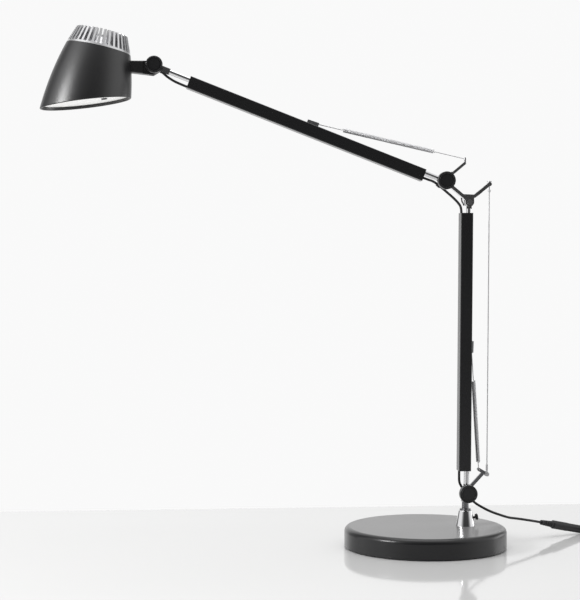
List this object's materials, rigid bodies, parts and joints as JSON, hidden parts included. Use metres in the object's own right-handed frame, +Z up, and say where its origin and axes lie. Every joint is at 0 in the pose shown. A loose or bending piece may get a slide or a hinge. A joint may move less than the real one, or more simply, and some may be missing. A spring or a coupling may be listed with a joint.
{
  "type": "desk lamp",
  "caption": "Spring-balanced task lamp on a round weighted base: swivel stem, parallelogram lower arm, tilting upper arm and LED head with finned cooler, low-voltage lead.",
  "frame": {"origin": "centre of the round base's underside, where the lamp stands on the table", "axes": "+Z up; +X points away from the lamp head, in the plane of the arms; -Y is the side of the tightening knobs"},
  "size_m": [0.9331, 0.2304, 0.6992],
  "materials": {
    "satin_black": "satin",
    "chrome": "polished",
    "steel": "satin",
    "spring_steel": "polished",
    "cast_iron": "rough",
    "foam_pad": "matte",
    "brass_bush": "satin",
    "black_plastic": "matte",
    "grey_plastic": "matte",
    "cable_rubber": "matte",
    "bare_aluminium": "bare",
    "board": "matte",
    "white_plastic": "gloss",
    "diffuser": "frosted",
    "pin_brass": "polished"
  },
  "bodies": {
    "base": {"base_cover": "satin_black", "base_weight": "cast_iron", "base_pad": "foam_pad", "pedestal": "chrome", "pedestal_nut": "steel", "swivel_bush": "brass_bush", "lead": "cable_rubber", "dc_plug": "black_plastic", "dc_jack": "black_plastic", "adapter_lead": "cable_rubber", "adapter_coil": "cable_rubber", "coil_tie": "black_plastic", "adapter_body": "black_plastic", "adapter_pins": "pin_brass"},
    "thumbscrew": {"thumbscrew": "black_plastic"},
    "stem": {"stem": "chrome", "stem_retainer": "steel", "tie_foot_pin": "chrome", "spring_foot_pin": "chrome", "base_bolt": "steel", "cable_post": "black_plastic", "lead_swivel": "cable_rubber"},
    "knob_base": {"knob_base": "black_plastic"},
    "lower_arm": {"lower_rod": "chrome", "lower_sleeve": "satin_black", "lower_plug_foot": "black_plastic", "lower_plug_head": "black_plastic", "lower_spring_anchor": "steel", "cable_lower": "cable_rubber", "spring_lower": "spring_steel", "cable_base_loop": "cable_rubber"},
    "tie": {"tie_wire": "spring_steel"},
    "elbow": {"elbow_bracket": "chrome", "clevis_pin": "chrome", "tie_head_pin": "chrome", "cable_saddle": "black_plastic", "elbow_bolt": "steel", "cable_elbow_lower": "cable_rubber"},
    "knob_elbow": {"knob_elbow": "black_plastic"},
    "upper_arm": {"upper_rod": "chrome", "upper_sleeve": "satin_black", "upper_plug_foot": "black_plastic", "upper_plug_head": "black_plastic", "upper_spring_anchor": "steel", "cable_upper": "cable_rubber", "spring_upper": "spring_steel", "cable_elbow_upper": "cable_rubber"},
    "head": {"neck": "satin_black", "shade": "satin_black", "heat_sink": "bare_aluminium", "led_board": "board", "reflector": "white_plastic", "diffuser": "diffuser", "switch_body": "black_plastic", "cable_gland": "black_plastic", "head_bolt": "steel", "cable_head_loop": "cable_rubber"},
    "knob_head": {"knob_head": "black_plastic"},
    "switch": {"switch_button": "grey_plastic"}
  },
  "joints": [
    {"name": "swivel", "type": "hinge", "parent": "base", "child": "stem", "pos_m": [0.055, 0, 0.05], "axis": [0, 0, 1], "range_deg": [-150, 150], "deforming": ["lead_swivel"]},
    {"name": "thumbscrew_turn", "type": "hinge", "parent": "base", "child": "thumbscrew", "pos_m": [0.06595, 0, 0.039], "axis": [0.9825, 0, 0.1863], "range_deg": [-120, 120]},
    {"name": "base_knob_turn", "type": "hinge", "parent": "stem", "child": "knob_base", "pos_m": [0.0565, 0, 0.0733], "axis": [0, -1, 0], "range_deg": [-120, 120]},
    {"name": "lower_tilt", "type": "hinge", "parent": "stem", "child": "lower_arm", "pos_m": [0.0565, 0, 0.0733], "axis": [0, 1, 0], "range_deg": [-55, 15], "deforming": ["spring_lower", "cable_base_loop"]},
    {"name": "tie_tilt", "type": "hinge", "parent": "stem", "child": "tie", "pos_m": [0.0848, 0, 0.0979], "axis": [0, 1, 0], "range_deg": [-55, 15]},
    {"name": "elbow_tilt", "type": "hinge", "parent": "lower_arm", "child": "elbow", "pos_m": [0.05898, 0, 0.46799], "axis": [0, 1, 0], "range_deg": [-15, 55], "deforming": ["cable_elbow_lower"]},
    {"name": "elbow_knob_turn", "type": "hinge", "parent": "elbow", "child": "knob_elbow", "pos_m": [0.02568, 0, 0.49669], "axis": [0, -1, 0], "range_deg": [-120, 120]},
    {"name": "upper_tilt", "type": "hinge", "parent": "elbow", "child": "upper_arm", "pos_m": [0.02568, 0, 0.49669], "axis": [0, 1, 0], "range_deg": [-45, 40], "deforming": ["spring_upper", "cable_elbow_upper"]},
    {"name": "head_tilt", "type": "hinge", "parent": "upper_arm", "child": "head", "pos_m": [-0.36625, 0, 0.64793], "axis": [0, 1, 0], "range_deg": [-60, 60], "deforming": ["cable_head_loop"]},
    {"name": "head_knob_turn", "type": "hinge", "parent": "head", "child": "knob_head", "pos_m": [-0.36625, 0, 0.64793], "axis": [0, -1, 0], "range_deg": [-120, 120]},
    {"name": "switch_press", "type": "slide", "parent": "head", "child": "switch", "axis": [-0.1273, 0, 0.9919], "range_m": [0, 0.0012], "stiffness_N_per_m": 400}
  ],
  "couplings": [
    {"joint": "tie_tilt", "follows": "lower_tilt", "ratio": 1},
    {"joint": "elbow_tilt", "follows": "lower_tilt", "ratio": -1}
  ]
}
